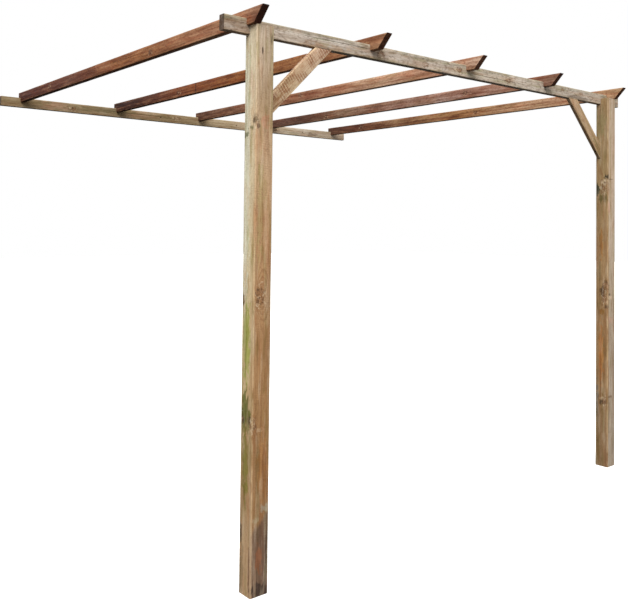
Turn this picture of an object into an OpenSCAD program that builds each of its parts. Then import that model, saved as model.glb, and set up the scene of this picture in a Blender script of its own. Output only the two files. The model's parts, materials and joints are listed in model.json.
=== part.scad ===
// Lean-to timber pergola: two posts carry a front beam, a plate is fixed to a wall,
// and five notched rafters run over both. Braces stiffen the posts under the beam.
// The wall is the plane Y = 0, the front is towards -Y, and Z = 0 is the middle of
// the wall plate. Lengths are in millimetres.

/* [Layout] */
// Distance from one rafter's centre line to the next
rafter_spacing = 750; // [400:10:1000]
// Distance from the wall to the front faces of the posts
projection = 3225; // [1500:5:4500]
// Height of the front beam's underside above the ground
clear_height = 2525; // [1800:5:3200]

/* [Posts] */
// Side of the square posts
post_w = 95; // [70:1:150]
// How far the beam is let into the back of each post head
rebate_d = 37; // [15:1:45]

/* [Front beam] */
// Depth of the beam, measured up and down
beam_h = 72; // [60:1:140]
// Thickness of the beam from front to back
beam_t = 42; // [34:1:80]
// How far each end of the beam runs past the outer face of its post
beam_over = 135; // [40:5:400]

/* [Wall plate] */
// Depth of the plate, measured up and down
plate_h = 72; // [60:1:140]
// Thickness of the plate from front to back
plate_t = 42; // [30:1:80]
// How far each end of the plate runs past the centre line of the outer rafter
plate_over = 155; // [40:5:400]
// Diameter of the holes for the wall fixings
wall_hole_d = 10; // [6:1:16]

/* [Rafters] */
// Depth of a rafter, measured up and down
rafter_h = 72; // [60:1:140]
// Thickness of a rafter
rafter_t = 38; // [30:1:80]
// How deep a rafter is notched over the beam and over the plate
notch_d = 32; // [10:1:38]
// Reach of a rafter's nose in front of the beam, along its top edge
nose_top = 130; // [60:1:400]
// Reach of a rafter's nose in front of the beam, along its bottom edge
nose_bottom = 60; // [40:1:400]

/* [Braces] */
// Length of a brace's long edge, measured along the post and along the beam
brace_leg = 385; // [260:5:700]
// Width of the brace board
brace_w = 72; // [50:1:100]
// Thickness of the brace board
brace_t = 27; // [20:1:34]

/* [Fixings] */
// Shank diameter of the rafter screws
rafter_screw_d = 8; // [5:0.5:10]
// How deep a rafter screw reaches into the timber below
rafter_screw_grip = 58; // [25:1:58]
// Shank diameter of the coach screws that hold the beam to the posts
coach_d = 10; // [6:1:12]
// How deep a coach screw reaches into its post
coach_grip = 40; // [25:1:50]
// Shank diameter of the brace screws
brace_screw_d = 6; // [4:0.5:8]
// Wood of the brace that lies under the top of a brace screw's head
brace_seat = 30; // [15:1:35]
// How deep a brace screw reaches into the post or into the beam
brace_screw_grip = 45; // [25:1:55]
// Clearance around each screw in its drilled hole
hole_gap = 0.2; // [0.1:0.1:0.5]
// Clearance of a rafter's notch on each side of the beam
notch_gap = 0.5; // [0.2:0.1:2]

/* [Hidden] */
$fn = 48;

// Rafters are numbered from left to right, seen from the front
rafter_x = [for (i = [-2:2]) i * rafter_spacing];
// The outer rafters are centred over the outer faces of the posts
span = rafter_x[4] - rafter_x[0];
post_x = span / 2 - post_w / 2;

// Levels: beam and plate have their tops level, and the rafters stand over both
top_z = plate_h / 2;
beam_z = top_z - beam_h;
ground_z = beam_z - clear_height;
rafter_z = top_z - notch_d;
rafter_top = rafter_z + rafter_h;
// The post head ends level with the rafters' undersides
post_h = rafter_z - ground_z;

// Depths: the rebate in the back of the post takes the beam's front part
post_y = -projection;
beam_y = post_y + post_w - rebate_d;
beam_back = beam_y + beam_t;
beam_len = span + 2 * beam_over;
plate_len = span + 2 * plate_over;

// Screws
rafter_screw_len = rafter_top - top_z + rafter_screw_grip;
screw_head_r = rafter_screw_d * 0.9;
screw_head_h = rafter_screw_d * 0.6;
small_head_r = brace_screw_d;
small_head_h = brace_screw_d * 0.6;
coach_hex = coach_d * 1.6;
coach_x = post_w / 4;
coach_z = (beam_z + rafter_z) / 2;

// Braces: the inner edge is one board width inside the outer edge
brace_inner = brace_leg - brace_w * sqrt(2);
brace_mid = (brace_leg + brace_inner) / 2;
brace_y = beam_y + brace_t / 2;
brace_x = post_x - post_w / 2;

// Wall fixings sit in the middle of the four bays
wall_hole_x = [for (i = [0:3]) (rafter_x[i] + rafter_x[i + 1]) / 2];

post_color = [0.66, 0.56, 0.42];
beam_color = [0.66, 0.60, 0.52];
plate_color = [0.55, 0.48, 0.37];
rafter_color = [0.47, 0.29, 0.18];
brace_color = [0.72, 0.60, 0.42];
steel_color = [0.75, 0.75, 0.72];

// Countersunk screw that points down, with the top of its head at the origin
module screw(head_r, head_h, shank_d, length) {
    translate([0, 0, -head_h / 2])
        cylinder(h = head_h / 2, r = head_r);
    translate([0, 0, -head_h])
        cylinder(h = head_h / 2, r1 = shank_d / 2, r2 = head_r);
    translate([0, 0, -length])
        cylinder(h = length, d = shank_d);
}

// Countersunk hole for that screw, kept open for some distance above the head
module screw_hole(head_r, head_h, shank_d, length, above) {
    translate([0, 0, -head_h / 2])
        cylinder(h = head_h / 2 + above, r = head_r + hole_gap);
    translate([0, 0, -head_h])
        cylinder(h = head_h / 2, r1 = shank_d / 2 + hole_gap, r2 = head_r + hole_gap);
    translate([0, 0, -length - 1])
        cylinder(h = length + 1, d = shank_d + 2 * hole_gap);
}

// Coach screw along +Y with its flange against the plane y = 0 and its shank towards -Y
module coach_screw() {
    rotate([-90, 0, 0]) {
        cylinder(h = 2, r = coach_hex * 0.72);
        translate([0, 0, 2])
            cylinder(h = coach_d * 0.6, r = coach_hex / sqrt(3), $fn = 6);
        translate([0, 0, -beam_t - coach_grip])
            cylinder(h = beam_t + coach_grip, d = coach_d);
    }
}

// Holes for the coach screws, side = -1 for the left post and 1 for the right post
module coach_holes(side) {
    for (offset = [-coach_x, coach_x])
        translate([side * post_x + offset, beam_back + 1, coach_z])
            rotate([90, 0, 0])
                cylinder(h = beam_t + coach_grip + 2, d = coach_d + 2 * hole_gap);
}

// Moves a part to the inner top corner of a post, under the beam, with +X into the bay
module at_corner(side) {
    translate([side * brace_x, brace_y, beam_z])
        mirror([side > 0 ? 1 : 0, 0, 0])
            children();
}

// The brace screws' places: one lies level into the post, one stands up into the beam
module at_post_end() {
    translate([brace_seat, 0, -brace_mid])
        rotate([0, 90, 0])
            children();
}

module at_beam_end() {
    translate([brace_mid, 0, -brace_seat])
        rotate([180, 0, 0])
            children();
}

module brace_hole() {
    screw_hole(small_head_r, small_head_h, brace_screw_d, brace_seat + brace_screw_grip, brace_leg);
}

module brace_screw() {
    screw(small_head_r, small_head_h, brace_screw_d, brace_seat + brace_screw_grip);
}

module rafter_screw() {
    screw(screw_head_r, screw_head_h, rafter_screw_d, rafter_screw_len);
}

module rafter_hole() {
    screw_hole(screw_head_r, screw_head_h, rafter_screw_d, rafter_screw_len, 1);
}

module at_beam_screw(x) {
    translate([x, beam_y + beam_t / 2, rafter_top])
        children();
}

module at_plate_screw(x) {
    translate([x, -plate_t / 2, rafter_top])
        children();
}

// Square post with a rebate at the back of its head for the beam
module post(side) {
    color(post_color)
    difference() {
        translate([side * post_x - post_w / 2, post_y, ground_z])
            cube([post_w, post_w, post_h]);
        translate([side * post_x - post_w / 2 - 1, beam_y, beam_z])
            cube([post_w + 2, rebate_d + 1, post_h]);
        coach_holes(side);
        at_corner(side)
            at_post_end()
                brace_hole();
    }
}

module front_beam() {
    color(beam_color)
    difference() {
        translate([-beam_len / 2, beam_y, beam_z])
            cube([beam_len, beam_t, beam_h]);
        for (x = rafter_x)
            at_beam_screw(x)
                rafter_hole();
        for (side = [-1, 1]) {
            coach_holes(side);
            at_corner(side)
                at_beam_end()
                    brace_hole();
        }
    }
}

module wall_plate() {
    color(plate_color)
    difference() {
        translate([-plate_len / 2, -plate_t, -plate_h / 2])
            cube([plate_len, plate_t, plate_h]);
        for (x = rafter_x)
            at_plate_screw(x)
                rafter_hole();
        for (x = wall_hole_x)
            translate([x, 1, 0])
                rotate([90, 0, 0])
                    cylinder(h = plate_t + 2, d = wall_hole_d);
    }
}

// Rafter with a slanted nose, notched over the beam and over the wall plate
module rafter(i) {
    x = rafter_x[i];
    nose_y = beam_y - nose_top;
    heel_y = beam_y - nose_bottom;
    color(rafter_color)
    difference() {
        translate([x - rafter_t / 2, 0, 0])
            rotate([90, 0, 90])
                linear_extrude(rafter_t)
                    polygon([
                        [heel_y, rafter_z],
                        [beam_y - notch_gap, rafter_z],
                        [beam_y - notch_gap, top_z],
                        [beam_back + notch_gap, top_z],
                        [beam_back + notch_gap, rafter_z],
                        [-plate_t - notch_gap, rafter_z],
                        [-plate_t - notch_gap, top_z],
                        [0, top_z],
                        [0, rafter_top],
                        [nose_y, rafter_top]
                    ]);
        at_beam_screw(x)
            rafter_hole();
        at_plate_screw(x)
            rafter_hole();
    }
}

// Board cut at 45 degrees, flat against the post and under the beam, flush with its front
module brace(side) {
    color(brace_color)
    at_corner(side)
        difference() {
            translate([0, brace_t / 2, 0])
                rotate([90, 0, 0])
                    linear_extrude(brace_t)
                        polygon([
                            [brace_leg, 0],
                            [brace_inner, 0],
                            [0, -brace_inner],
                            [0, -brace_leg]
                        ]);
            at_post_end()
                brace_hole();
            at_beam_end()
                brace_hole();
        }
}

module front_screw(i) {
    color(steel_color)
    at_beam_screw(rafter_x[i])
        rafter_screw();
}

module wall_screw(i) {
    color(steel_color)
    at_plate_screw(rafter_x[i])
        rafter_screw();
}

// side picks the post, and offset is -1 or 1 for the screw left or right of its middle
module post_coach_screw(side, offset) {
    color(steel_color)
    translate([side * post_x + offset * coach_x, beam_back, coach_z])
        coach_screw();
}

module brace_post_screw(side) {
    color(steel_color)
    at_corner(side)
        at_post_end()
            brace_screw();
}

module brace_beam_screw(side) {
    color(steel_color)
    at_corner(side)
        at_beam_end()
            brace_screw();
}

post(-1);  // post_left
post(1);  // post_right
front_beam();
wall_plate();
rafter(0);  // rafter_1
rafter(1);  // rafter_2
rafter(2);  // rafter_3
rafter(3);  // rafter_4
rafter(4);  // rafter_5
brace(-1);  // brace_left
brace(1);  // brace_right
front_screw(0);  // front_screw_1
front_screw(1);  // front_screw_2
front_screw(2);  // front_screw_3
front_screw(3);  // front_screw_4
front_screw(4);  // front_screw_5
wall_screw(0);  // wall_screw_1
wall_screw(1);  // wall_screw_2
wall_screw(2);  // wall_screw_3
wall_screw(3);  // wall_screw_4
wall_screw(4);  // wall_screw_5
post_coach_screw(-1, -1);  // coach_screw_left_outer
post_coach_screw(-1, 1);  // coach_screw_left_inner
post_coach_screw(1, -1);  // coach_screw_right_inner
post_coach_screw(1, 1);  // coach_screw_right_outer
brace_post_screw(-1);  // brace_screw_left_post
brace_beam_screw(-1);  // brace_screw_left_beam
brace_post_screw(1);  // brace_screw_right_post
brace_beam_screw(1);  // brace_screw_right_beam
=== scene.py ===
import json
import math

import bpy
from mathutils import Euler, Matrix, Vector


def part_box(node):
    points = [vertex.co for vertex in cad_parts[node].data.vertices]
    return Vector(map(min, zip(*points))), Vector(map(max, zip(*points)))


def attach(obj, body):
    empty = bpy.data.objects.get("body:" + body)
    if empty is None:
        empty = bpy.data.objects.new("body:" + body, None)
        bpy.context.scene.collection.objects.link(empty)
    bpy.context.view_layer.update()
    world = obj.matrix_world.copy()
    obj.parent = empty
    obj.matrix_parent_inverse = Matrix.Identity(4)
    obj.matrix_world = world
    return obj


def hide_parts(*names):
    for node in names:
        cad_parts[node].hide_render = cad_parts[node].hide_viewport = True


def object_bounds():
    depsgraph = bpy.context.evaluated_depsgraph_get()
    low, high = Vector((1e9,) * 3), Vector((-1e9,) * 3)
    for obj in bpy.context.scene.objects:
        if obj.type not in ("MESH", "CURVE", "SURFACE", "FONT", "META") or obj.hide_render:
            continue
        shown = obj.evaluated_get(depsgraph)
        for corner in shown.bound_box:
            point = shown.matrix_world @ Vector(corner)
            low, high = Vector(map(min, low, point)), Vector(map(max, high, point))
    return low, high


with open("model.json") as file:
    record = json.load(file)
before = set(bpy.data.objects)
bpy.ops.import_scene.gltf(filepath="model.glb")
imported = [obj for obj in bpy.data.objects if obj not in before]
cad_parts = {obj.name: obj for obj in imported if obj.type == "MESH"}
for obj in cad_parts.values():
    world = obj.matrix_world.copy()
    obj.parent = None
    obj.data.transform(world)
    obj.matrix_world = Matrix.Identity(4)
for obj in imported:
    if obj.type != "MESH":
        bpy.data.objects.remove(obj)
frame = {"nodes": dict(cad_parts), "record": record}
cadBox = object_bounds()
print("frame loaded:", len(frame["nodes"]), "parts")

bpy.context.scene.view_settings.view_transform = "Standard"

# The wall is the plane y = 0, the pergola stands in front of it towards -y, all in metres
sides = {"left": 1, "right": -1}  # the way from each post into the bay
rafterNumbers = range(1, 6)
beamLow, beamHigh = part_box("front_beam")
plateLow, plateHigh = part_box("wall_plate")
hair = 0.0001  # how closely faces and edges are picked by their place

# Camera

cameraValues = {
    "place": (-3.4235, -6.1633, -0.8976),
    "turn": (91.33, -0.518, -41.625),  # degrees: pitch, roll, heading
    "sensor": 36,
    "lens": 44.52,
    "shift": (-0.0883, -0.1488),
}


def addCamera(values):
    bpy.ops.object.camera_add(location=values["place"])
    camera = bpy.context.object
    camera.name = "camera"
    camera.rotation_euler = [math.radians(turn) for turn in values["turn"]]
    camera.data.sensor_width = values["sensor"]
    camera.data.lens = values["lens"]
    camera.data.shift_x, camera.data.shift_y = values["shift"]
    bpy.context.scene.camera = camera


addCamera(cameraValues)


# Selecting, and finishing an edit

def dropSelection():
    if bpy.context.object and bpy.context.object.mode != "OBJECT":
        bpy.ops.object.mode_set(mode="OBJECT")
    bpy.ops.object.select_all(action="DESELECT")


def takeUp(piece):
    dropSelection()
    piece.select_set(True)
    bpy.context.view_layer.objects.active = piece


def applyModifiers(piece):
    takeUp(piece)
    for modifier in list(piece.modifiers):
        bpy.ops.object.modifier_apply(modifier=modifier.name)


def applyPlace(piece):
    takeUp(piece)
    bpy.ops.object.transform_apply(location=True, rotation=True, scale=True)


# Both pick functions leave the piece in edit mode
def pickEdges(piece, test):
    pickNothing(piece)
    mesh = piece.data
    for edge in mesh.edges:
        start, end = (mesh.vertices[i] for i in edge.vertices)
        if test(start.co, end.co):
            edge.select = start.select = end.select = True
    bpy.context.tool_settings.mesh_select_mode = (False, True, False)
    bpy.ops.object.mode_set(mode="EDIT")


def pickFaces(piece, test):
    pickNothing(piece)
    for face in piece.data.polygons:
        face.select = test(face)
    bpy.context.tool_settings.mesh_select_mode = (False, False, True)
    bpy.ops.object.mode_set(mode="EDIT")


def pickNothing(piece):
    takeUp(piece)
    for parts in (piece.data.vertices, piece.data.edges, piece.data.polygons):
        parts.foreach_set("select", [False] * len(parts))


def leaveEdit():
    bpy.ops.object.mode_set(mode="OBJECT")


# Cutters for holes, rebates and drying cracks

def cutAway(piece, cutters):
    for cutter in cutters:
        modifier = piece.modifiers.new("cut", "BOOLEAN")
        modifier.operation = "DIFFERENCE"
        modifier.solver = "EXACT"
        modifier.object = cutter
        applyModifiers(piece)
        bpy.data.objects.remove(cutter)


def boxCutter(low, high):
    dropSelection()
    bpy.ops.mesh.primitive_cube_add(size=1, location=(low + high) / 2, scale=high - low)
    applyPlace(bpy.context.object)
    return bpy.context.object


# Pulls the lowest face down and brings it to another width
def drawDown(piece, depth, widthChange=1.0):
    low = min(face.center.z for face in piece.data.polygons)
    pickFaces(piece, lambda face: face.normal.z < -0.9 and face.center.z < low + hair)
    bpy.ops.mesh.extrude_region_move(TRANSFORM_OT_translate={"value": (0, 0, -depth)})
    bpy.ops.transform.resize(value=(widthChange, widthChange, 1), center_override=(0, 0, 0))
    leaveEdit()


# Takes a piece that hangs down from the origin to its place, and points it in a direction
def aim(piece, start, direction):
    piece.rotation_euler = (-direction).to_track_quat("Z", "Y").to_euler()
    piece.location = start
    applyPlace(piece)


drillValues = {
    "rafter": {"shank": 0.0042, "head": 0.0074, "sink": 0.0048, "pocket": 0.004},
    "brace": {"shank": 0.0032, "head": 0.0062, "sink": 0.0036, "pocket": 0.08},
    "coach": {"shank": 0.0052},
    "wallStart": 0.01,  # the wall holes start behind the plate and end in front of it
    "wallLength": 0.07,
    "past": 0.001,  # how far a cutter goes past the surface or the tip
}


# Starts at a screw's head and follows its direction; with a head it is countersunk, and the
# pocket is the room that it keeps open in front of the head
def drillCutter(start, direction, length, shank, head=0, sink=0, pocket=0):
    deep = length + drillValues["past"]
    top, bottom = (pocket, -sink / 2) if head else (0, -deep)
    dropSelection()
    bpy.ops.mesh.primitive_cylinder_add(vertices=32, radius=head or shank, depth=top - bottom,
                                        location=(0, 0, (top + bottom) / 2))
    cutter = bpy.context.object
    applyPlace(cutter)
    if head:
        drawDown(cutter, sink / 2, shank / head)
        drawDown(cutter, deep - sink)
    aim(cutter, start, direction)
    return cutter


def middleOf(node):
    low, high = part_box(node)
    return low, high, (low + high) / 2


# From a screw's node name: its kind, the axis it runs along and the way it points
screwKinds = {
    "front": ("rafter", 2, -1),
    "wall": ("rafter", 2, -1),
    "coach": ("coach", 1, -1),
    "brace": ("brace", 2, 1),
}


# Kind of a screw, and the place of its head, its direction and its length
def screwLine(node):
    words = node.split("_")
    kind, axis, way = screwKinds[words[0]]
    if words[-1] == "post":
        axis, way = 0, -sides[words[2]]
    low, high, start = middleOf(node)
    start[axis] = high[axis] if way < 0 else low[axis]
    direction = Vector((0, 0, 0))
    direction[axis] = way
    return kind, (start, direction, high[axis] - low[axis])


def screwHoles(nodes, countersunk=False):
    cutters = []
    for node in nodes:
        kind, line = screwLine(node)
        sizes = drillValues[kind]
        cutters.append(drillCutter(*line, **(sizes if countersunk else {"shank": sizes["shank"]})))
    return cutters


def coachScrewNodes(side):
    return ["coach_screw_%s_%s" % (side, place) for place in ("outer", "inner")]


faceSides = {"left": (0, 0), "right": (0, 1), "front": (1, 0), "back": (1, 1)}  # axis, low or high side


# Each crack, a long thin lens: its face, its middle along the timber counted from start, its place
# across the face from the middle, and its length
def crackCutters(low, high, grain, cracks, values, start=0):
    cutters = []
    for face, along, across, length in cracks:
        axis, side = faceSides[face]
        place, size = (low + high) / 2, Vector((0, 0, 0))
        place[3 - grain - axis] += across
        place[axis] = (low, high)[side][axis]
        place[grain] = start + along
        size[3 - grain - axis] = values["crackWidth"]
        size[axis] = values["crackDepth"] * 2
        size[grain] = length
        dropSelection()
        bpy.ops.mesh.primitive_uv_sphere_add(segments=12, ring_count=8, radius=0.5, location=place)
        crack = bpy.context.object
        crack.scale = size
        applyPlace(crack)
        cutters.append(crack)
    return cutters


# Timber is made as a planed bar first, then cut

barValues = {
    "arrisSteps": 3,
    "stationEvery": 0.045,
    "unevenDepth": 0.0011,
    "unevenSize": 0.16,
    "smoothUnder": 32,  # degrees
}


def planedBar(name, low, high, grain, arris):
    size = high - low
    bar = boxCutter(low, high)
    bar.name = bar.data.name = name

    def runsAlong(start, end):
        return abs(end[grain] - start[grain]) > size[grain] / 2

    pickEdges(bar, runsAlong)
    bpy.ops.mesh.bevel(offset=arris, segments=barValues["arrisSteps"], affect="EDGES")
    leaveEdit()
    pickEdges(bar, runsAlong)
    bpy.ops.mesh.subdivide(number_cuts=round(size[grain] / barValues["stationEvery"]))
    leaveEdit()
    # planed and weathered faces are sunk by a hair here and there
    waves = bpy.data.textures.new(name + "Waves", "CLOUDS")
    waves.noise_scale = barValues["unevenSize"]
    uneven = bar.modifiers.new("uneven", "DISPLACE")
    uneven.texture = waves
    uneven.texture_coords = "LOCAL"
    uneven.mid_level = 0
    uneven.strength = -barValues["unevenDepth"]
    applyModifiers(bar)
    return bar


def finishPiece(piece, node):
    takeUp(piece)
    bpy.ops.object.shade_smooth_by_angle(angle=math.radians(barValues["smoothUnder"]))
    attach(piece, "root")
    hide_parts(node)


# Posts

postValues = {
    "arris": 0.006,
    # height above the foot, place across the face, length
    "cracks": {
        "left": [("front", 2.36, -0.012, 0.26), ("left", 1.05, 0.010, 0.60),
                 ("right", 1.60, -0.006, 0.70), ("back", 0.90, 0.004, 0.80)],
        "right": [("left", 0.62, 0.008, 0.42), ("front", 1.62, -0.010, 0.50),
                  ("back", 1.20, 0.006, 0.70)],
    },
    "crackWidth": 0.003,
    "crackDepth": 0.016,
    "past": 0.02,  # how far the rebate's cutter reaches past the post
}


def makePost(side, values):
    low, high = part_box("post_" + side)
    post = planedBar("post" + side.capitalize(), low, high, 2, values["arris"])
    past = values["past"]
    cutters = [boxCutter(Vector((low.x - past, beamLow.y, beamLow.z)), high + Vector((past, past, past)))]
    cutters += screwHoles(coachScrewNodes(side) + ["brace_screw_%s_post" % side])
    cutters += crackCutters(low, high, 2, values["cracks"][side], values, low.z)
    cutAway(post, cutters)
    return post


posts = {side: makePost(side, postValues) for side in sides}
print("posts made")

# Front beam and wall plate

railValues = {
    "arris": 0.004,
    # place along x, height from the middle, length
    "beamCracks": [("front", -0.95, 0.012, 0.55), ("front", 0.30, -0.008, 0.70),
                   ("back", 1.10, 0.006, 0.60)],
    "plateCracks": [("front", -0.60, 0.006, 0.50), ("front", 0.95, -0.010, 0.65)],
    "crackWidth": 0.0022,
    "crackDepth": 0.009,
}


def wallHoles():
    cutters = []
    for mount in frame["record"]["mounts"]:
        if mount["kind"] == "bolt_pattern":
            for x in (-mount["dims"]["spacing_x_mm"] / 2000, mount["dims"]["spacing_x_mm"] / 2000):
                cutters.append(drillCutter(Vector((x, drillValues["wallStart"], 0)), Vector((0, -1, 0)),
                                           drillValues["wallLength"], mount["dims"]["hole_r_mm"] / 1000))
    return cutters


def makeRail(name, low, high, cracks, holes, values):
    rail = planedBar(name, low, high, 0, values["arris"])
    cutAway(rail, crackCutters(low, high, 0, cracks, values) + holes)
    return rail


beamScrews = ["front_screw_%d" % number for number in rafterNumbers]
for side in sides:
    beamScrews += coachScrewNodes(side) + ["brace_screw_%s_beam" % side]
plateScrews = ["wall_screw_%d" % number for number in rafterNumbers]
beam = makeRail("frontBeam", beamLow, beamHigh, railValues["beamCracks"], screwHoles(beamScrews),
                railValues)
plate = makeRail("wallPlate", plateLow, plateHigh, railValues["plateCracks"],
                 screwHoles(plateScrews) + wallHoles(), railValues)
print("front beam and wall plate made")

# Rafters

rafterValues = {
    "arris": 0.0035,
    "noseReach": 0.060,  # lower edge of the nose, in front of the beam
    "notchGap": 0.0005,
    "notchPast": 0.02,  # how far the notches' cutters reach below and behind
    "notchAside": 0.05,
    # one crack in the left face of each: place along y, height from the middle, length
    "cracks": [(-1.9, 0.008, 0.50), (-0.9, -0.012, 0.60), (-2.4, -0.006, 0.40), (-1.4, 0.010, 0.70),
               (-0.7, 0.004, 0.45)],
    "crackWidth": 0.002,
    "crackDepth": 0.008,
}


def makeRafter(number, values):
    low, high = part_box("rafter_%d" % number)
    rafter = planedBar("rafter%d" % number, low, high, 1, values["arris"])
    # the nose slants back from its top edge
    noseBack = beamLow.y - values["noseReach"] - low.y
    pickFaces(rafter, lambda face: True)
    bpy.ops.mesh.bisect(plane_co=(0, low.y, high.z), plane_no=(0, low.z - high.z, -noseBack),
                        use_fill=True, clear_outer=True)
    leaveEdit()
    gap, past = values["notchGap"], values["notchPast"]
    left, right, under = low.x - values["notchAside"], high.x + values["notchAside"], low.z - past
    cutters = [boxCutter(Vector((left, beamLow.y - gap, under)),
                         Vector((right, beamHigh.y + gap, beamHigh.z + gap))),
               boxCutter(Vector((left, plateLow.y - gap, under)),
                         Vector((right, plateHigh.y + past, plateHigh.z + gap)))]
    cutters += screwHoles(["front_screw_%d" % number, "wall_screw_%d" % number], True)
    cutters += crackCutters(low, high, 1, [("left", *values["cracks"][number - 1])], values)
    cutAway(rafter, cutters)
    return rafter


rafters = {number: makeRafter(number, rafterValues) for number in rafterNumbers}
print("rafters made")

# Corner braces

braceValues = {
    "width": 0.072,
    "arris": 0.003,
    "spare": 0.05,  # extra length at each end before it is cut to the post and the beam
}


# The corner that a brace spans, the middle of its board, the length of its long edge and its thickness
def bracePlace(side):
    low, high, middle = middleOf("brace_" + side)
    corner = Vector((low.x if sides[side] > 0 else high.x, middle.y, high.z))
    toFoot = Vector((sides[side], 0, -1)).normalized()  # from the corner square across the brace
    reach = (high.x - low.x) / math.sqrt(2)
    return corner, corner + toFoot * (reach - braceValues["width"] / 2), reach * 2, high.y - low.y


def makeBrace(side, values):
    corner, centre, long, thick = bracePlace(side)
    inward = sides[side]
    half = Vector((long / 2 + values["spare"], thick / 2, values["width"] / 2))
    brace = planedBar("brace" + side.capitalize(), centre - half, centre + half, 0, values["arris"])
    # turned up to 45 degrees, then cut off at the post and under the beam
    pickFaces(brace, lambda face: True)
    bpy.ops.transform.rotate(value=math.radians(45) * inward, orient_axis="Y",
                             orient_type="GLOBAL", center_override=centre)
    for normal in ((-inward, 0, 0), (0, 0, 1)):
        bpy.ops.mesh.select_all(action="SELECT")
        bpy.ops.mesh.bisect(plane_co=corner, plane_no=normal, use_fill=True, clear_outer=True)
    leaveEdit()
    cutAway(brace, screwHoles(["brace_screw_%s_%s" % (side, end) for end in ("post", "beam")], True))
    return brace


braces = {side: makeBrace(side, braceValues) for side in sides}
print("braces made")

# Screws, modelled once with the head's top at the origin and the shank down, then copied

screwValues = {
    "rafter": {"head": 0.0072, "sink": 0.0048, "shank": 0.004, "length": 0.098, "slot": 0.0035},
    "brace": {"head": 0.006, "sink": 0.0036, "shank": 0.003, "length": 0.075, "slot": 0.0028},
    "tip": 0.009,
    "tipWidth": 0.08,  # as a share of the shank
    "slotWidth": 0.0009,
    "slotDepth": 0.0022,
    "rim": 0.0003,
}
coachValues = {
    "flange": 0.0115,
    "flangeThick": 0.002,
    "flangeRim": 0.0006,
    "hex": 0.00924,
    "hexHigh": 0.006,
    "chamfer": 0.0009,
    "shank": 0.005,
    "shankStep": 0.00001,  # the flange's underside is all but flat
    "length": 0.082,
    "tip": 0.01,
    "tipWidth": 0.1,
}


# A disc with a softened upper rim; with 6 segments it is a bolt's head
def addDisc(segments, radius, top, thick, rim):
    dropSelection()
    bpy.ops.mesh.primitive_cylinder_add(vertices=segments, radius=radius, depth=thick,
                                        location=(0, 0, top - thick / 2))
    disc = bpy.context.object
    applyPlace(disc)
    pickEdges(disc, lambda start, end: start.z + end.z > 2 * top - hair)
    bpy.ops.mesh.bevel(offset=rim, segments=2, affect="EDGES")
    leaveEdit()
    return disc


def makeScrew(kind, values):
    size = values[kind]
    screw = addDisc(32, size["head"], 0, size["sink"] / 2, values["rim"])
    drawDown(screw, size["sink"] / 2, size["shank"] / size["head"])
    drawDown(screw, size["length"] - size["sink"] - values["tip"])
    drawDown(screw, values["tip"], values["tipWidth"])
    cutters = []
    for x, y in ((size["slot"], values["slotWidth"]), (values["slotWidth"], size["slot"])):
        cutters.append(boxCutter(Vector((-x, -y, -values["slotDepth"])), Vector((x, y, drillValues["past"]))))
    cutAway(screw, cutters)
    return screw


def makeCoachScrew(values):
    head = addDisc(6, values["hex"], 0, values["hexHigh"], values["chamfer"])
    screw = addDisc(40, values["flange"], -values["hexHigh"], values["flangeThick"], values["flangeRim"])
    drawDown(screw, values["shankStep"], values["shank"] / values["flange"])
    drawDown(screw, values["length"] - values["tip"])
    drawDown(screw, values["tip"], values["tipWidth"])
    head.select_set(True)
    bpy.ops.object.join()
    return screw


def placeScrew(sources, node):
    kind, (start, direction, length) = screwLine(node)
    dropSelection()
    screw = sources[kind].copy()
    screw.data = screw.data.copy()
    bpy.context.collection.objects.link(screw)
    first, *others = node.split("_")
    screw.name = screw.data.name = first + "".join(word.capitalize() for word in others)
    aim(screw, start, direction)
    finishPiece(screw, node)
    return screw


screwSources = {kind: makeScrew(kind, screwValues) for kind in ("rafter", "brace")}
screwSources["coach"] = makeCoachScrew(coachValues)
screwNodes = ["%s_screw_%d" % (rail, number) for number in rafterNumbers for rail in ("front", "wall")]
for side in sides:
    screwNodes += coachScrewNodes(side) + ["brace_screw_%s_%s" % (side, end) for end in ("post", "beam")]
screws = [placeScrew(screwSources, node) for node in screwNodes]
for source in screwSources.values():
    bpy.data.objects.remove(source)
print("screws made:", len(screws))


# Node trees, written as: kind of node, what goes into its sockets, its settings

def paint(red, green, blue):
    def toLinear(value):
        value /= 255
        return value / 12.92 if value <= 0.04045 else ((value + 0.055) / 1.055) ** 2.4
    return (toLinear(red), toLinear(green), toLinear(blue), 1)


# Sockets left out keep Blender's own values
def put(tree, kind, sockets={}, **settings):
    node = tree.nodes.new("ShaderNode" + kind)
    for name, value in settings.items():
        setattr(node, name, value)
    for key, value in sockets.items():
        if isinstance(value, bpy.types.NodeSocket):
            tree.links.new(value, node.inputs[key])
        else:
            node.inputs[key].default_value = value
    return node


def sums(tree, operation, first, second=0.0, third=0.0):
    return put(tree, "Math", {0: first, 1: second, 2: third}, operation=operation).outputs[0]


def times(tree, first, second):
    return sums(tree, "MULTIPLY", first, second)


def vectorSums(tree, operation, first, second=(0, 0, 0), scale=1.0):
    node = put(tree, "VectorMath", {0: first, 1: second, 3: scale}, operation=operation)
    return node.outputs["Value" if operation in ("LENGTH", "DOT_PRODUCT") else "Vector"]


def fade(tree, value, start, end, low=0.0, high=1.0):
    return put(tree, "MapRange", {0: value, 1: start, 2: end, 3: low, 4: high},
               interpolation_type="SMOOTHSTEP").outputs[0]


def mixed(tree, factor, first, second, blend="MIX"):
    return put(tree, "Mix", {0: factor, 6: first, 7: second}, data_type="RGBA",
               blend_type=blend).outputs[2]


def noise(tree, vector, scale, detail=2.0, rough=0.5, output="Fac"):
    return put(tree, "TexNoise", {"Vector": vector, "Scale": scale, "Detail": detail,
                                  "Roughness": rough}).outputs[output]


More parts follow.
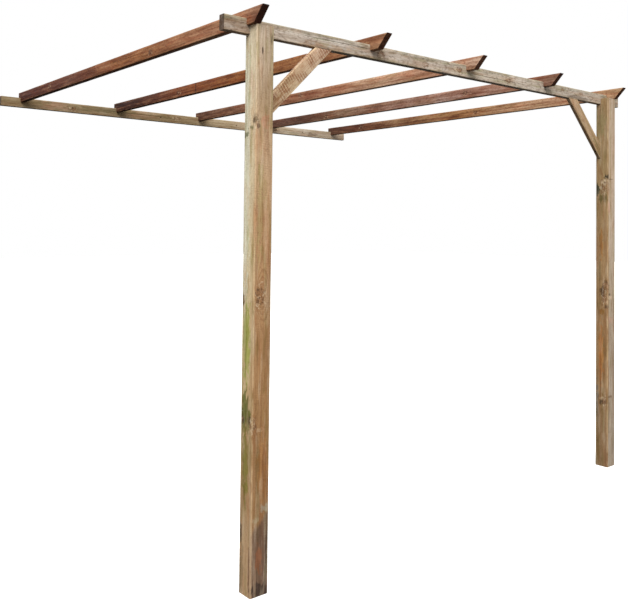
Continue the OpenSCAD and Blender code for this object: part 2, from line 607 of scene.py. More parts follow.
# Noise that is drawn out along the grain; the smaller the squeeze, the longer its marks
def longNoise(tree, vector, squeeze, scale, *others, **more):
    return noise(tree, vectorSums(tree, "MULTIPLY", vector, (1, 1, squeeze)), scale, *others, **more)


def clearTree(owner):
    owner.use_nodes = True
    owner.node_tree.nodes.clear()
    return owner.node_tree


# Every group gives plain numbers: masks, or how far the grain is pushed
def newGroup(name, vectors, numbers, gives):
    group = bpy.data.node_groups.new(name, "ShaderNodeTree")
    for labels, way, kind in ((vectors, "INPUT", "Vector"), (numbers, "INPUT", "Float"),
                              (gives, "OUTPUT", "Float")):
        for label in labels:
            group.interface.new_socket(name=label, in_out=way, socket_type="NodeSocket" + kind)
    return group, group.nodes.new("NodeGroupInput").outputs, group.nodes.new("NodeGroupOutput").inputs


def use(tree, group, sockets):
    return put(tree, "Group", sockets, node_tree=group).outputs


# Growth rings round the pith, with the fibres, streaks and clouds that run along them.
# In every group z is the way of the grain and x, y lie across it.
grainNoises = {
    # squeeze along the grain, scale, detail, roughness, where the mask starts and ends
    "Fibre": (0.02, 620, 3, 0.6, 0.3, 0.7),
    "Streak": (0.045, 75, 4, 0.6, 0.3, 0.7),
    "Cloud": (0.3, 11, 4, 0.55, 0.32, 0.68),
    "Pore": (0.12, 1400, 1, 0.5, 0.62, 0.75),
    "Speckle": (0.6, 85, 3, 0.6, 0.5, 0.64),
}
grainBands = ("Olive", "Rust", "Pale")


def makeGrain():
    tree, takes, gives = newGroup("pineGrain", ["Vector", "Seed", "Pith"], ["Ring", "Push"],
                                  ["Latewood", *grainNoises, *grainBands])
    link = tree.links.new
    seeded = vectorSums(tree, "ADD", takes["Vector"], takes["Seed"])
    across = vectorSums(tree, "MULTIPLY", vectorSums(tree, "SUBTRACT", takes["Vector"], takes["Pith"]),
                        (1, 1, 0))
    field = sums(tree, "MULTIPLY_ADD", longNoise(tree, seeded, 0.22, 5), 0.03,
                 vectorSums(tree, "LENGTH", across))
    field = sums(tree, "MULTIPLY_ADD", longNoise(tree, seeded, 0.1, 90), 0.0022, field)
    field = sums(tree, "SUBTRACT", field, takes["Push"])
    turns = sums(tree, "DIVIDE", field, takes["Ring"])
    part = sums(tree, "FRACT", turns)
    year = put(tree, "TexWhiteNoise", {"W": sums(tree, "FLOOR", turns)}, noise_dimensions="1D").outputs[0]
    ring = times(tree, fade(tree, part, 0.30, 0.86), fade(tree, part, 0.90, 1.0, 1, 0))
    link(times(tree, ring, sums(tree, "MULTIPLY_ADD", year, 0.6, 0.4)), gives["Latewood"])
    for name, (squeeze, scale, detail, rough, start, end) in grainNoises.items():
        link(fade(tree, longNoise(tree, seeded, squeeze, scale, detail, rough), start, end), gives[name])
    bands = longNoise(tree, seeded, 0.13, 40, 4, 0.55, output="Color")
    for band, name in zip(put(tree, "SeparateColor", {0: bands}).outputs, grainBands):
        link(fade(tree, band, 0.5, 0.64), gives[name])
    return tree


# A branch that runs out through the wood to a given place
def makeKnot():
    tree, takes, gives = newGroup("pineKnot", ["Vector", "Place", "Toward"], ["Size"],
                                  ["Core", "Rim", "Rings", "Push", "Halo", "Light"])
    link = tree.links.new
    rough = noise(tree, takes["Vector"], 46, 4, 0.62, output="Color")
    rough = vectorSums(tree, "SUBTRACT", rough, (0.5, 0.5, 0.5))
    rough = vectorSums(tree, "SCALE", rough, scale=times(tree, takes["Size"], 2.8))
    away = vectorSums(tree, "SUBTRACT", takes["Vector"], takes["Place"])
    bent = vectorSums(tree, "ADD", away, rough)
    along = vectorSums(tree, "DOT_PRODUCT", bent, takes["Toward"])
    cross = vectorSums(tree, "SUBTRACT", bent, vectorSums(tree, "SCALE", takes["Toward"], scale=along))
    cross = vectorSums(tree, "MULTIPLY", cross, (1, 1, 0.66))
    reach = sums(tree, "DIVIDE", vectorSums(tree, "LENGTH", cross), takes["Size"])
    inside = fade(tree, along, -0.06, -0.035)
    broken = longNoise(tree, takes["Vector"], 0.6, 120, 3)
    whole = times(tree, inside, fade(tree, broken, 0.34, 0.56))
    link(times(tree, whole, fade(tree, reach, 0.7, 1.05, 1, 0)), gives["Core"])
    edge = sums(tree, "ABSOLUTE", sums(tree, "SUBTRACT", reach, 1.0))
    link(times(tree, whole, fade(tree, edge, 0.05, 0.4, 1, 0)), gives["Rim"])
    wave = sums(tree, "SINE", times(tree, reach, 15))
    link(fade(tree, wave, -1, 1), gives["Rings"])
    # the grain swings round it, far more along the timber than across
    spread = vectorSums(tree, "MULTIPLY", away, (0.5, 0.5, 0.21))
    spread = sums(tree, "DIVIDE", vectorSums(tree, "LENGTH", spread), takes["Size"])
    swing = sums(tree, "EXPONENT", times(tree, sums(tree, "POWER", spread, 2), -1))
    link(times(tree, swing, takes["Size"]), gives["Push"])
    link(fade(tree, swing, 0.25, 0.95), gives["Halo"])
    # wisps of pale wood pressed up beside it
    wisps = fade(tree, longNoise(tree, bent, 0.4, 105, 3), 0.53, 0.64)
    link(times(tree, fade(tree, swing, 0.35, 0.8), wisps), gives["Light"])
    return tree


# A tinted area with ragged ends
def makePatch():
    tree, takes, gives = newGroup("stainPatch", ["Vector", "Place", "Reach"], ["Ragged"], ["Mask"])
    away = vectorSums(tree, "DIVIDE", vectorSums(tree, "SUBTRACT", takes["Vector"], takes["Place"]),
                      takes["Reach"])
    rough = longNoise(tree, takes["Vector"], 0.35, 62, 4, 0.62)
    rough = times(tree, fade(tree, rough, 0.3, 0.7, -0.6, 0.6), takes["Ragged"])
    far = sums(tree, "ADD", vectorSums(tree, "LENGTH", away), rough)
    tree.links.new(fade(tree, far, 0.6, 1.15, 1, 0), gives["Mask"])
    return tree


# Rounded arris of a bar, worn unevenly; the lighter band it gives is real wear and painted highlight together
def makeArris():
    tree, takes, gives = newGroup("arrisWearAndHighlight", ["Vector", "Seed", "Half"], ["Width"], ["Mask"])
    inset = vectorSums(tree, "SUBTRACT", takes["Half"], vectorSums(tree, "ABSOLUTE", takes["Vector"]))
    split = put(tree, "SeparateXYZ", {0: inset}).outputs
    deeper = sums(tree, "MAXIMUM", split[0], split[1])
    ragged = longNoise(tree, vectorSums(tree, "ADD", takes["Vector"], takes["Seed"]), 0.25, 60, 3)
    near = fade(tree, sums(tree, "DIVIDE", deeper, takes["Width"]), 0.1, 1.5, 1, 0)
    tree.links.new(times(tree, near, fade(tree, ragged, 0.38, 0.62)), gives["Mask"])
    return tree


fullTurn = 6.2832  # radians


# Marks of the planer's cutters across the grain
def makePlaner():
    tree, takes, gives = newGroup("planerMarks", ["Vector", "Seed"], ["Pitch"], ["Wave", "Torn"])
    seeded = vectorSums(tree, "ADD", takes["Vector"], takes["Seed"])
    split = put(tree, "SeparateXYZ", {0: seeded}).outputs
    lean = sums(tree, "ADD", split[2], times(tree, split[0], 0.12))
    wave = sums(tree, "SINE", sums(tree, "DIVIDE", lean, sums(tree, "DIVIDE", takes["Pitch"], fullTurn)))
    strong = fade(tree, noise(tree, seeded, 16, 2), 0.34, 0.56)
    tree.links.new(times(tree, fade(tree, wave, -1, 1), strong), gives["Wave"])
    torn = noise(tree, vectorSums(tree, "MULTIPLY", seeded, (1.6, 1.6, 1)), 210, 2, 0.6)
    tree.links.new(times(tree, fade(tree, torn, 0.54, 0.7), strong), gives["Torn"])
    return tree


pineGrain, pineKnot, stainPatch = makeGrain(), makeKnot(), makePatch()
arrisWearAndHighlight, planerMarks = makeArris(), makePlaner()


def ramp(tree, value, stops):
    node = put(tree, "ValToRGB", {0: value})
    elements = node.color_ramp.elements
    elements[0].position, elements[0].color = stops[0][0], paint(*stops[0][1])
    elements[1].position, elements[1].color = stops[-1][0], paint(*stops[-1][1])
    for position, colour in stops[1:-1]:
        elements.new(position).color = paint(*colour)
    return node.outputs[0]


# A layer is a red, green and blue tint and its strength
commonLook = {
    "ring": 0.0042,
    "pith": (0.012, 0.03),
    "latewood": (172, 138, 112, 0.42),
    "streak": (204, 194, 184, 0.55),
    "cloud": (222, 216, 204, 0.5),
    "fibre": (190, 176, 160, 0.4),
    "pore": (150, 128, 108, 0.35),
    "olive": (196, 200, 150, 0.45),
    "rust": (232, 190, 156, 0.35),
    "pale": (214, 200, 176, 0.25),
    "speckle": (206, 190, 172, 0.3),
    "planerPitch": 0.011,
    "torn": (120, 84, 60, 0.15),   # fibres torn by the planer
    "wave": (196, 152, 118, 0),    # ribs that it leaves
    # a lighter band along the arrises: real wear and painted highlight together
    "wear": (206, 182, 144, 0.35),
    "arrisBandWidth": 0.008,
    "endGrain": (120, 98, 80, 0.8),
    "sapToward": (-1, 0),
    "sapEdge": (-0.01, 0.02),
    "knots": [],  # x, y, z, the way it runs out in x and y, size, strength
    "knotCore": (150, 108, 72),
    "knotRim": (84, 58, 38),
    "knotHalo": (190, 158, 126, 0.3),
    "knotLight": (214, 194, 162, 0.55),
    "patches": [],  # place, reach, tint, strength, how ragged
    "roughness": (0.62, 0.86),
    "bump": 0.0011,
}
# in the order in which they lie on the wood
grainLayers = ("Pale", "Olive", "Rust", "Cloud", "Streak", "Latewood", "Fibre", "Pore", "Speckle")
planerLayers = ("Torn", "Wave")


# Look of one timber. Places in it are in timber coordinates, metres, and the ramps run from the
# low end of the grain axis to its high end.
def timberMaterial(name, look, middle, turn, half, length):
    values = {**commonLook, **look}
    material = bpy.data.materials.new(name)
    tree = clearTree(material)
    vector = put(tree, "Mapping", {"Vector": put(tree, "TexCoord").outputs["Object"], "Rotation": turn,
                                   "Location": -(Euler(turn).to_matrix() @ middle)}).outputs[0]
    seed = (sum(ord(letter) for letter in name) % 17 * 1.3, len(name) * 0.7, 3.1)
    away = put(tree, "SeparateXYZ", {0: vector}).outputs
    part = sums(tree, "MULTIPLY_ADD", away[2], 1 / length, 0.5)

    push, knots = 0.0, []
    for x, y, z, towardX, towardY, size, strength in values["knots"]:
        knot = use(tree, pineKnot, {"Vector": vector, "Place": (x, y, z), "Size": size,
                                    "Toward": (towardX, towardY, 0.12)})
        push = sums(tree, "ADD", push, knot["Push"])
        knots.append((knot, times(tree, knot["Core"], strength),
                      times(tree, knot["Rim"], strength)))
    grain = use(tree, pineGrain, {"Vector": vector, "Seed": seed, "Pith": (*values["pith"], 0),
                                  "Ring": values["ring"], "Push": push})
    planer = use(tree, planerMarks, {"Vector": vector, "Seed": seed, "Pitch": values["planerPitch"]})
    wornAndLit = use(tree, arrisWearAndHighlight, {"Vector": vector, "Seed": seed, "Half": (*half, 0),
                                 "Width": values["arrisBandWidth"]})["Mask"]

    def stained(colour, mask, layer, blend="MULTIPLY"):
        *tint, strength = layer
        return mixed(tree, times(tree, mask, strength), colour, paint(*tint), blend)

    # heartwood and sapwood, each with its own run of colour along the timber
    colour = ramp(tree, part, values["heart"])
    if "sap" in values:
        toward = vectorSums(tree, "DOT_PRODUCT", vector, (*values["sapToward"], 0))
        toward = sums(tree, "MULTIPLY_ADD", grain["Streak"], 0.012, toward)
        colour = mixed(tree, fade(tree, toward, *values["sapEdge"]), colour,
                       ramp(tree, part, values["sap"]))
    if "foot" in values:
        height, slope, layer = values["foot"]
        below = sums(tree, "MULTIPLY_ADD", away[0], -slope, away[2])
        below = sums(tree, "MULTIPLY_ADD", grain["Streak"], 0.03, below)
        mask = fade(tree, below, height + 0.03, height)
        mask = times(tree, mask, fade(tree, away[0], 0.002 - half[0], 0.014 - half[0]))
        colour = stained(colour, mask, layer, "MIX")
    for place, reach, tint, strength, ragged in values["patches"]:
        mask = use(tree, stainPatch, {"Vector": vector, "Place": place, "Reach": reach,
                                      "Ragged": ragged})["Mask"]
        colour = stained(colour, mask, (*tint, strength), "MIX")
    for source, layers in ((grain, grainLayers), (planer, planerLayers)):
        for layer in layers:
            colour = stained(colour, source[layer], values[layer.lower()],
                             "MIX" if layer == "Pale" else "MULTIPLY")
    for knot, core, rim in knots:
        colour = stained(colour, knot["Halo"], values["knotHalo"])
        colour = stained(colour, knot["Light"], values["knotLight"], "MIX")
        inner = mixed(tree, knot["Rings"], paint(*values["knotCore"]), paint(*values["knotRim"]))
        colour = mixed(tree, times(tree, core, 0.8), colour, inner)
        colour = stained(colour, rim, (*values["knotRim"], 0.75), "MIX")
    # the arrises are lightened: real wear and a painted highlight
    colour = stained(colour, wornAndLit, values["wear"], "MIX")

    # end grain drinks more stain; the cut ends are where the surface faces along the timber
    turned = put(tree, "Mapping", {"Vector": put(tree, "TexCoord").outputs["Normal"],
                                   "Rotation": turn}, vector_type="NORMAL").outputs[0]
    facing = sums(tree, "ABSOLUTE", put(tree, "SeparateXYZ", {0: turned}).outputs[2])
    colour = stained(colour, fade(tree, facing, 0.45, 0.62), values["endGrain"])

    low, high = values["roughness"]
    rough = sums(tree, "MULTIPLY_ADD", grain["Streak"], high - low, low)
    rough = sums(tree, "MULTIPLY_ADD", grain["Latewood"], -0.1, rough)

    relief = times(tree, grain["Latewood"], 0.35)
    for mask, depth in ((grain["Fibre"], 0.25), (grain["Pore"], 0.3), (planer["Torn"], 0.5)):
        relief = sums(tree, "SUBTRACT", relief, times(tree, mask, depth))
    relief = sums(tree, "ADD", relief, times(tree, planer["Wave"], 0.25))
    for knot, core, rim in knots:
        relief = sums(tree, "SUBTRACT", relief, times(tree, rim, 0.6))
    bump = put(tree, "Bump", {"Height": relief, "Strength": 0.8, "Distance": values["bump"]}).outputs[0]
    shader = put(tree, "BsdfPrincipled", {"Base Color": colour, "Roughness": rough, "Normal": bump,
                                          "Specular IOR Level": 0.25})
    put(tree, "OutputMaterial", {"Surface": shader.outputs[0]})
    return material


def dress(piece, material):
    piece.data.materials.clear()
    piece.data.materials.append(material)


# Looks. For an upright post x is left to right and y is front to back; for the beam and the
# plate x is top (-) to underside (+); for a rafter x is left to right and y is top to underside.

postHalf = 0.0475  # from a post's middle to its faces
markDepth = 0.02


# Marks on the left or the front face of a timber, as patches. Each has its place across the face
# and along it from the middle, its reach both ways, its tint, its strength and how ragged it is.
def marksOn(face, marks, half=postHalf, depth=markDepth):
    axis, patches = faceSides[face][0], []
    for across, along, wide, long, *others in marks:
        place, reach = [across, across, along], [wide, wide, long]
        place[axis], reach[axis] = -half, depth
        patches.append((place, reach, *others))
    return patches


leftPostLook = {
    "heart": [(0, (150, 120, 98)), (0.10, (156, 126, 96)), (0.13, (164, 128, 90)),
              (0.35, (170, 132, 90)), (0.6, (188, 150, 110)), (0.85, (200, 174, 142)),
              (1, (212, 196, 176))],
    "sap": [(0, (212, 184, 150)), (0.08, (196, 166, 130)), (0.2, (176, 148, 108)),
            (0.42, (220, 200, 158)), (0.6, (238, 224, 186)), (1, (244, 234, 206))],
    "sapToward": (-1, 0.35),
    "sapEdge": (0.028, 0.05),
    "pith": (0.02, 0.05),
    "olive": (196, 200, 150, 0.5),
    "foot": (-0.955, 1.15, (118, 94, 78, 0.9)),  # height of its edge, slope of it, layer
    "patches": [
        # left face from the head down: pale and greenish, then olive in the middle
        ((-0.0475, 0.024, 0.62), (0.03, 0.030, 0.74), (242, 244, 222), 0.85, 0.7),
        *marksOn("left", [
            (-0.014, 1.02, 0.020, 0.08, (226, 196, 168), 0.6, 1.0),
            (-0.042, 0.848, 0.014, 0.016, (84, 78, 48), 0.85, 0.8),
            (-0.012, 0.815, 0.022, 0.010, (134, 138, 98), 0.8, 1.0),
            (0.026, 0.786, 0.020, 0.013, (118, 124, 86), 0.8, 1.0),
            (0.036, 0.030, 0.014, 0.024, (86, 92, 46), 0.85, 0.8),
            (0.006, -0.14, 0.030, 0.19, (174, 182, 88), 0.85, 0.7),
            (0.008, -0.475, 0.040, 0.10, (104, 110, 42), 0.9, 0.8),
            (0.030, -0.505, 0.016, 0.015, (58, 52, 30), 0.85, 0.9),
            (-0.022, -0.500, 0.014, 0.016, (80, 66, 40), 0.8, 0.9),
            (0.002, -0.69, 0.026, 0.17, (138, 132, 58), 0.85, 0.8),
            (0.038, -1.01, 0.014, 0.045, (84, 70, 52), 0.8, 0.8),
            (-0.032, -1.15, 0.006, 0.12, (104, 72, 46), 0.75, 0.6),
            (0.030, -1.18, 0.024, 0.12, (146, 124, 92), 0.65, 0.8),
        ]),
        *marksOn("front", [
            (-0.014, 1.163, 0.0045, 0.02, (70, 46, 32), 0.95, 0.2),
            (0.034, 1.225, 0.007, 0.024, (120, 106, 92), 0.8, 0.6),
            (0.004, 0.84, 0.022, 0.035, (214, 156, 128), 0.6, 1.0),
            (-0.034, 0.82, 0.012, 0.014, (98, 72, 48), 0.85, 0.9),
            (-0.016, 0.46, 0.018, 0.24, (176, 164, 110), 0.45, 0.9),
            (-0.008, -0.545, 0.020, 0.010, (204, 176, 144), 0.6, 1.0),
            (0.008, -0.73, 0.024, 0.16, (178, 126, 70), 0.55, 0.8),
            (0.024, -0.895, 0.026, 0.018, (178, 172, 154), 0.7, 1.0),
            (-0.014, -0.945, 0.018, 0.018, (184, 168, 142), 0.6, 1.0),
            (-0.004, -1.12, 0.018, 0.06, (158, 100, 64), 0.55, 0.9),
            (0.040, -1.13, 0.014, 0.13, (78, 62, 54), 0.75, 0.8),
        ]),
        # a dark band across the foot of the front face: painted shadow where the post meets the ground
        ((0.008, -0.0475, -1.265), (0.060, 0.03, 0.045), (66, 52, 46), 0.85, 0.8),
    ],
    "knots": [(-0.0475, -0.045, 0.85, -0.7, -0.7, 0.013, 0.6),
              (-0.012, -0.0475, 0.055, 0, -1, 0.021, 1.0),
              (-0.0475, 0.0455, 0.035, -0.7, 0.7, 0.014, 0.8),
              (-0.0475, -0.045, -0.515, -0.7, -0.7, 0.013, 0.8),
              (-0.0475, 0.043, -0.50, -0.7, 0.7, 0.013, 0.8),
              (0.0475, 0.010, 0.30, 1, 0, 0.016, 1.0),
              (0.010, 0.0475, -0.35, 0, 1, 0.017, 1.0)],
}

rightPostLook = {
    "heart": [(0, (168, 156, 140)), (0.3, (178, 164, 148)), (0.6, (196, 180, 160)),
              (0.8, (200, 180, 158)), (1, (200, 182, 162))],
    "sap": [(0, (152, 124, 92)), (0.3, (164, 132, 92)), (0.6, (172, 142, 102)),
            (0.85, (168, 144, 104)), (1, (190, 162, 128))],
    "sapToward": (-1, 0),
    "sapEdge": (0.038, 0.045),
    "pith": (0.03, 0.02),
    "patches": [
        *marksOn("left", [
            (0.01, 1.10, 0.05, 0.10, (150, 144, 98), 0.6, 0.9),
            (0.034, 0.64, 0.022, 0.045, (58, 62, 40), 0.95, 0.8),
            (-0.006, 0.58, 0.036, 0.032, (112, 98, 54), 0.9, 0.8),
            (-0.036, 0.728, 0.018, 0.018, (66, 58, 38), 0.9, 0.8),
            (-0.018, 0.692, 0.022, 0.020, (228, 214, 186), 0.85, 0.8),
            (0.004, 0.655, 0.016, 0.014, (222, 206, 176), 0.75, 0.8),
            (0.004, 0.27, 0.014, 0.12, (176, 122, 62), 0.7, 0.9),
            (-0.006, -0.07, 0.022, 0.034, (84, 56, 30), 0.9, 0.8),
            (-0.034, -0.14, 0.014, 0.012, (212, 190, 156), 0.7, 0.9),
            (-0.036, -0.175, 0.012, 0.014, (92, 66, 42), 0.8, 0.9),
            (-0.002, -0.215, 0.018, 0.018, (150, 108, 46), 0.8, 0.9),
            (0.002, -0.48, 0.020, 0.22, (196, 136, 78), 0.7, 0.7),
            (0.036, -0.84, 0.014, 0.14, (116, 110, 102), 0.75, 0.9),
            (-0.008, -0.84, 0.030, 0.018, (82, 66, 46), 0.8, 1.0),
            (-0.016, -0.815, 0.024, 0.010, (204, 180, 146), 0.7, 1.0),
            (0.030, -1.17, 0.024, 0.11, (126, 108, 62), 0.6, 0.9),
        ]),
        *marksOn("front", [
            (-0.010, 0.713, 0.040, 0.0045, (120, 104, 84), 0.7, 0.5),
            (-0.026, 0.52, 0.016, 0.045, (216, 170, 148), 0.5, 1.0),
            (0.022, 0.53, 0.008, 0.09, (164, 152, 140), 0.5, 0.8),
            (-0.022, -0.09, 0.020, 0.010, (110, 92, 76), 0.7, 1.0),
            (-0.012, -0.115, 0.030, 0.012, (224, 204, 184), 0.7, 1.0),
            (-0.018, -0.27, 0.026, 0.03, (206, 166, 148), 0.5, 1.0),
            (-0.020, -0.80, 0.028, 0.008, (128, 104, 82), 0.75, 0.9),
            (0.026, -1.12, 0.020, 0.12, (146, 132, 118), 0.5, 1.0),
        ]),
    ],
    "knots": [(-0.0475, -0.030, 0.66, -0.7, -0.7, 0.020, 0.8),
              (-0.0475, -0.036, -0.03, -0.8, -0.6, 0.018, 0.9),
              (-0.0475, -0.020, -0.12, -1, 0, 0.015, 0.9),
              (-0.0475, -0.020, -0.83, -1, 0, 0.014, 0.9),
              (0.0475, 0.006, -0.30, 1, 0, 0.016, 1.0),
              (-0.008, 0.0475, 0.42, 0, 1, 0.017, 1.0)],
}

postLooks = {"left": leftPostLook, "right": rightPostLook}

beamLook = {
    "heart": [(0, (174, 156, 138)), (0.12, (200, 188, 174)), (0.2, (206, 198, 190)), (0.45, (206, 196, 184)),
              (0.6, (208, 198, 184)), (0.85, (198, 190, 178)), (1, (186, 172, 154))],
    "pith": (0.03, 0.06),
    "streak": (204, 194, 184, 0.7),
    "olive": (196, 200, 150, 0.5),
    "pale": (226, 220, 210, 0.5),
    "speckle": (176, 164, 158, 0.6),
    "patches": [
        ((-0.036, -0.01, 0), (0.020, 0.05, 9), (164, 162, 146), 0.7, 1.0),
        ((0.022, -0.021, -0.5), (0.010, 0.02, 0.75), (222, 204, 184), 0.5, 1.0),
        ((0.036, -0.021, -1.05), (0.03, 0.02, 0.16), (196, 166, 138), 0.6, 1.0),
        ((0.010, -0.021, 0.13), (0.014, 0.02, 0.03), (224, 214, 196), 0.6, 0.5),
        ((0.024, -0.021, 1.12), (0.014, 0.02, 0.14), (134, 118, 102), 0.8, 1.0),
        ((-0.022, -0.021, -0.72), (0.012, 0.02, 0.16), (166, 148, 126), 0.7, 1.0),
    ],
    "knots": [(0.004, -0.021, -0.69, 0, -1, 0.015, 1.0),
              (0.002, -0.021, -0.08, 0, -1, 0.014, 1.0),
              (0.006, -0.021, 0.37, 0, -1, 0.014, 1.0),
              (-0.008, -0.021, 1.16, 0, -1, 0.011, 0.7),
              (0.01, 0.021, -0.35, 0, 1, 0.014, 0.9),
              (-0.012, 0.021, 0.95, 0, 1, 0.012, 0.9)],
}

plateLook = {
    "heart": [(0, (154, 134, 102)), (0.25, (152, 132, 102)), (0.42, (150, 132, 100)),
              (0.55, (174, 156, 124)), (0.7, (204, 186, 160)), (0.85, (204, 194, 178)),
              (1, (184, 166, 146))],
    "pith": (-0.02, 0.05),
    "streak": (204, 194, 184, 0.7),
    "patches": [
        ((0, -0.021, -1.25), (0.04, 0.02, 0.10), (176, 136, 112), 0.5, 1.0),
        ((0, -0.021, -0.55), (0.04, 0.02, 0.14), (178, 140, 112), 0.45, 1.0),
        ((-0.02, -0.021, -0.9), (0.03, 0.02, 0.25), (120, 118, 84), 0.5, 1.0),
        ((0, -0.021, 0.62), (0.03, 0.02, 0.05), (212, 204, 190), 0.7, 0.9),
        ((0.01, -0.021, 1.25), (0.02, 0.02, 0.06), (124, 98, 78), 0.6, 0.9),
    ],
    "knots": [(0.006, -0.021, -1.12, 0, -1, 0.012, 0.8),
              (-0.004, -0.021, -0.22, 0, -1, 0.013, 0.8),
              (0.004, -0.021, 0.80, 0, -1, 0.012, 0.8)],
}

# the rafters carry a red-brown stain, darker towards the wall; the darkest colour, at their ends over the
# wall plate, is painted shade as well as stain
rafterLook = {
    "latewood": (160, 110, 82, 0.42),
    "streak": (176, 140, 120, 0.75),
    "cloud": (190, 150, 124, 0.75),
    "olive": (190, 176, 134, 0.5),
    "rust": (232, 170, 130, 0.4),
    "pale": (222, 180, 142, 0.25),
    "speckle": (176, 140, 124, 0.5),
    # lighter arrises: real wear and painted highlight
    "wear": (176, 132, 96, 0.3),
    "endGrain": (138, 102, 82, 0.92),
    "pith": (0.02, 0.02),
    "knotCore": (104, 66, 42),
    "knotRim": (52, 32, 22),
    "knotLight": (206, 170, 134, 0.55),
}
rafterHalf = 0.019
rafterMarkDepth = 0.01
# marks and knots of each lie on its left face; a knot has its place across, along, and its size
rafterLooks = {
    1: {"heart": [(0, (144, 102, 80)), (0.06, (206, 160, 124)), (0.12, (220, 180, 144)),
                  (0.3, (182, 128, 82)), (0.485, (180, 124, 76)), (0.6, (156, 104, 72)),
                  (0.68, (124, 76, 54)), (0.85, (112, 56, 28)), (1, (98, 46, 20))],
        "marks": [(0.01, -1.45, 0.03, 0.10, (200, 126, 78), 0.5, 0.9)],
        "knots": [(0.006, -0.55, 0.012), (-0.01, 1.0, 0.011)]},
    2: {"heart": [(0, (210, 178, 142)), (0.08, (200, 164, 126)), (0.15, (204, 160, 112)),
                  (0.35, (182, 124, 66)), (0.6, (166, 104, 58)), (0.72, (136, 84, 50)),
                  (0.85, (86, 40, 12)), (1, (74, 38, 8))],
        "marks": [(0, 0.30, 0.06, 0.006, (60, 34, 24), 0.8, 0.3)],
        "knots": [(-0.006, -0.95, 0.012), (0.008, 0.55, 0.013)]},
    3: {"cloud": (190, 150, 124, 0.35),
        "heart": [(0, (222, 196, 172)), (0.07, (216, 178, 150)), (0.15, (220, 180, 150)),
                  (0.3, (244, 216, 186)), (0.4, (206, 160, 128)), (0.5, (178, 134, 104)),
                  (0.6, (190, 146, 112)), (0.82, (148, 110, 86)), (1, (102, 68, 44))],
        "marks": [(0.012, 0.15, 0.014, 0.3, (168, 108, 82), 0.45, 1.0)],
        "knots": [(0.004, -1.35, 0.011), (-0.01, 0.1, 0.012)]},
    4: {"heart": [(0, (172, 142, 124)), (0.1, (180, 142, 120)), (0.2, (200, 166, 150)),
                  (0.3, (234, 220, 214)), (0.38, (202, 174, 162)), (0.5, (188, 154, 138)),
                  (0.65, (178, 152, 128)), (0.85, (120, 92, 80)), (1, (122, 94, 80))],
        "marks": [(-0.01, -0.1, 0.02, 0.3, (150, 120, 92), 0.4, 1.0)],
        "knots": [(0.0, -0.85, 0.011), (0.01, 0.75, 0.011)]},
    5: {"heart": [(0, (204, 176, 138)), (0.1, (216, 180, 148)), (0.3, (222, 192, 156)),
                  (0.45, (202, 160, 108)), (0.65, (178, 146, 108)), (0.85, (136, 96, 72)),
                  (1, (94, 64, 48))],
        "marks": [(0.014, 0.2, 0.012, 0.5, (150, 98, 76), 0.5, 1.0)],
        "knots": [(0.002, -0.3, 0.012), (-0.008, 1.15, 0.012)]},
}

braceLooks = {
    "left": {
        # lighter towards both ends; towards the beam the lightening is partly the wood's colour and partly
        # painted light that lifts the shadow falling there
        "heart": [(0, (222, 196, 172)), (0.15, (214, 186, 158)), (0.4, (194, 170, 136)),
                  (0.7, (222, 196, 168)), (1, (230, 204, 182))],
        "pith": (0.03, 0.03),
        "torn": (120, 84, 60, 0.9),
        "planerPitch": 0.015,
        "wave": (196, 152, 118, 0.75),
        "speckle": (206, 168, 136, 0.5),
        # lighter arrises: real wear and painted highlight
        "wear": (232, 208, 168, 0.6),
        "patches": [((0, -0.0135, -0.20), (0.03, 0.02, 0.09), (172, 152, 108), 0.5, 1.0)],
    },
    "right": {
        "heart": [(0, (168, 142, 106)), (0.3, (188, 162, 128)), (1, (200, 174, 142))],
        "pith": (-0.03, 0.03),
        "torn": (120, 84, 60, 0.3),
        "wave": (196, 152, 118, 0.3),
        "patches": [((0, -0.0135, -0.20), (0.03, 0.02, 0.10), (146, 136, 92), 0.6, 1.0)],
        "knots": [(-0.01, -0.0135, 0.05, 0, -1, 0.009, 0.6)],
    },
}

# The turn that brings each axis to the grain's way, and the two axes that lie across
turnFrom = {0: ((0, math.radians(-90), 0), 2, 1), 1: ((math.radians(90), 0, 0), 0, 2), 2: ((0, 0, 0), 0, 1)}


def dressTimber(piece, name, look, node, grain):
    low, high, middle = middleOf(node)
    turn, across, other = turnFrom[grain]
    size = [end - start for start, end in zip(low, high)]
    dress(piece, timberMaterial(name, look, middle, turn, (size[across] / 2, size[other] / 2), size[grain]))


for side in sides:
    dressTimber(posts[side], "postPine" + side.capitalize(), postLooks[side], "post_" + side, 2)
    corner, centre, long, thick = bracePlace(side)
    dress(braces[side], timberMaterial("bracePine" + side.capitalize(), braceLooks[side], centre,
                                       (0, math.radians(-45 * sides[side]), 0),
                                       (braceValues["width"] / 2, thick / 2), long))
dressTimber(beam, "beamPine", beamLook, "front_beam", 0)
dressTimber(plate, "platePine", plateLook, "wall_plate", 0)
for number in rafterNumbers:
    look = {**rafterLook, **rafterLooks[number]}
    look["patches"] = marksOn("left", look["marks"], rafterHalf, rafterMarkDepth)
    look["knots"] = [(-rafterHalf, y, z, -1, 0, size, 0.9) for y, z, size in look["knots"]]
    dressTimber(rafters[number], "rafterPine%d" % number, look, "rafter_%d" % number, 1)
print("timber looks made")

# Zinc on the screws

zincValues = {
    "bright": (206, 208, 210),
    "dull": (160, 164, 166),
    "rust": (128, 88, 58),
    "roughness": (0.32, 0.58),
}


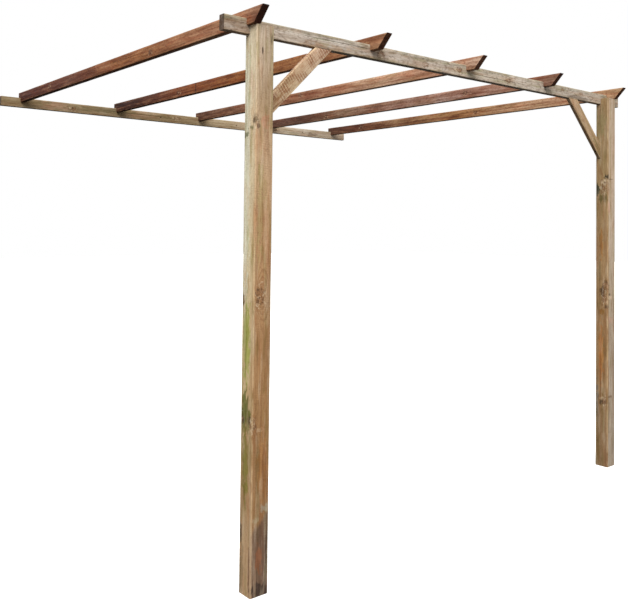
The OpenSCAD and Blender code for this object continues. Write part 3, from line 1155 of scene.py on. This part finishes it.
def zincMaterial(values):
    material = bpy.data.materials.new("zincSteel")
    tree = clearTree(material)
    place = put(tree, "TexCoord").outputs["Object"]
    spangle = put(tree, "TexVoronoi", {"Vector": place, "Scale": 420}).outputs["Color"]
    spangle = put(tree, "SeparateColor", {0: spangle}).outputs[0]
    cloud = noise(tree, place, 260, 3)
    colour = mixed(tree, times(tree, spangle, cloud), paint(*values["bright"]),
                   paint(*values["dull"]))
    colour = mixed(tree, fade(tree, noise(tree, place, 150, 4), 0.62, 0.72, 0, 0.5), colour,
                   paint(*values["rust"]))
    low, high = values["roughness"]
    rough = fade(tree, cloud, 0.3, 0.7, low, high)
    bump = put(tree, "Bump", {"Height": cloud, "Strength": 0.3, "Distance": 0.0002}).outputs[0]
    shader = put(tree, "BsdfPrincipled", {"Base Color": colour, "Roughness": rough, "Metallic": 1,
                                          "Normal": bump})
    put(tree, "OutputMaterial", {"Surface": shader.outputs[0]})
    return material


zinc = zincMaterial(zincValues)
for screw in screws:
    dress(screw, zinc)

for side in sides:
    finishPiece(posts[side], "post_" + side)
    finishPiece(braces[side], "brace_" + side)
finishPiece(beam, "front_beam")
finishPiece(plate, "wall_plate")
for number in rafterNumbers:
    finishPiece(rafters[number], "rafter_%d" % number)

# Floor, sky and lights

studioValues = {
    "floorSize": 60,
    "floorPale": (238, 238, 236),
    "floorBounce": (56, 55, 53),   # what the floor gives back to the timbers
    "floorLift": 0.25,
    "sky": 0.90,
    "keyTurn": (48, 0, -38),
    "keyStrength": 3.9,
    "keySoft": 40,
    "backTurn": (50, 0, 150),
    "backStrength": 0.9,
}


def addStudio(values):
    dropSelection()
    bpy.ops.mesh.primitive_plane_add(size=values["floorSize"], location=(0, 0, cadBox[0][2]))
    floor = bpy.context.object
    floor.name = "floor"
    material = bpy.data.materials.new("paleFloor")
    tree = clearTree(material)
    pale = put(tree, "BsdfPrincipled", {"Base Color": paint(*values["floorPale"]), "Roughness": 0.9,
                                        "Emission Color": (1, 1, 1, 1),
                                        "Emission Strength": values["floorLift"]})
    bounce = put(tree, "BsdfDiffuse", {"Color": paint(*values["floorBounce"])})
    seen = put(tree, "LightPath").outputs["Is Camera Ray"]
    both = put(tree, "MixShader", {0: seen, 1: bounce.outputs[0], 2: pale.outputs[0]})
    put(tree, "OutputMaterial", {"Surface": both.outputs[0]})
    dress(floor, material)
    world = bpy.data.worlds.new("studio")
    bpy.context.scene.world = world
    tree = clearTree(world)
    seen = put(tree, "LightPath").outputs["Is Camera Ray"]
    light = put(tree, "Background", {"Color": (1, 1, 1, 1), "Strength": values["sky"]})
    white = put(tree, "Background", {"Color": (1, 1, 1, 1), "Strength": 1})
    both = put(tree, "MixShader", {0: seen, 1: light.outputs[0], 2: white.outputs[0]})
    put(tree, "OutputWorld", {"Surface": both.outputs[0]})
    for name in ("key", "back"):
        turn = [math.radians(angle) for angle in values[name + "Turn"]]
        bpy.ops.object.light_add(type="SUN", rotation=turn)
        sun = bpy.context.object
        sun.name = name + "Light"
        sun.data.energy = values[name + "Strength"]
        sun.data.angle = math.radians(values["keySoft"])


addStudio(studioValues)
print("floor and lights set")
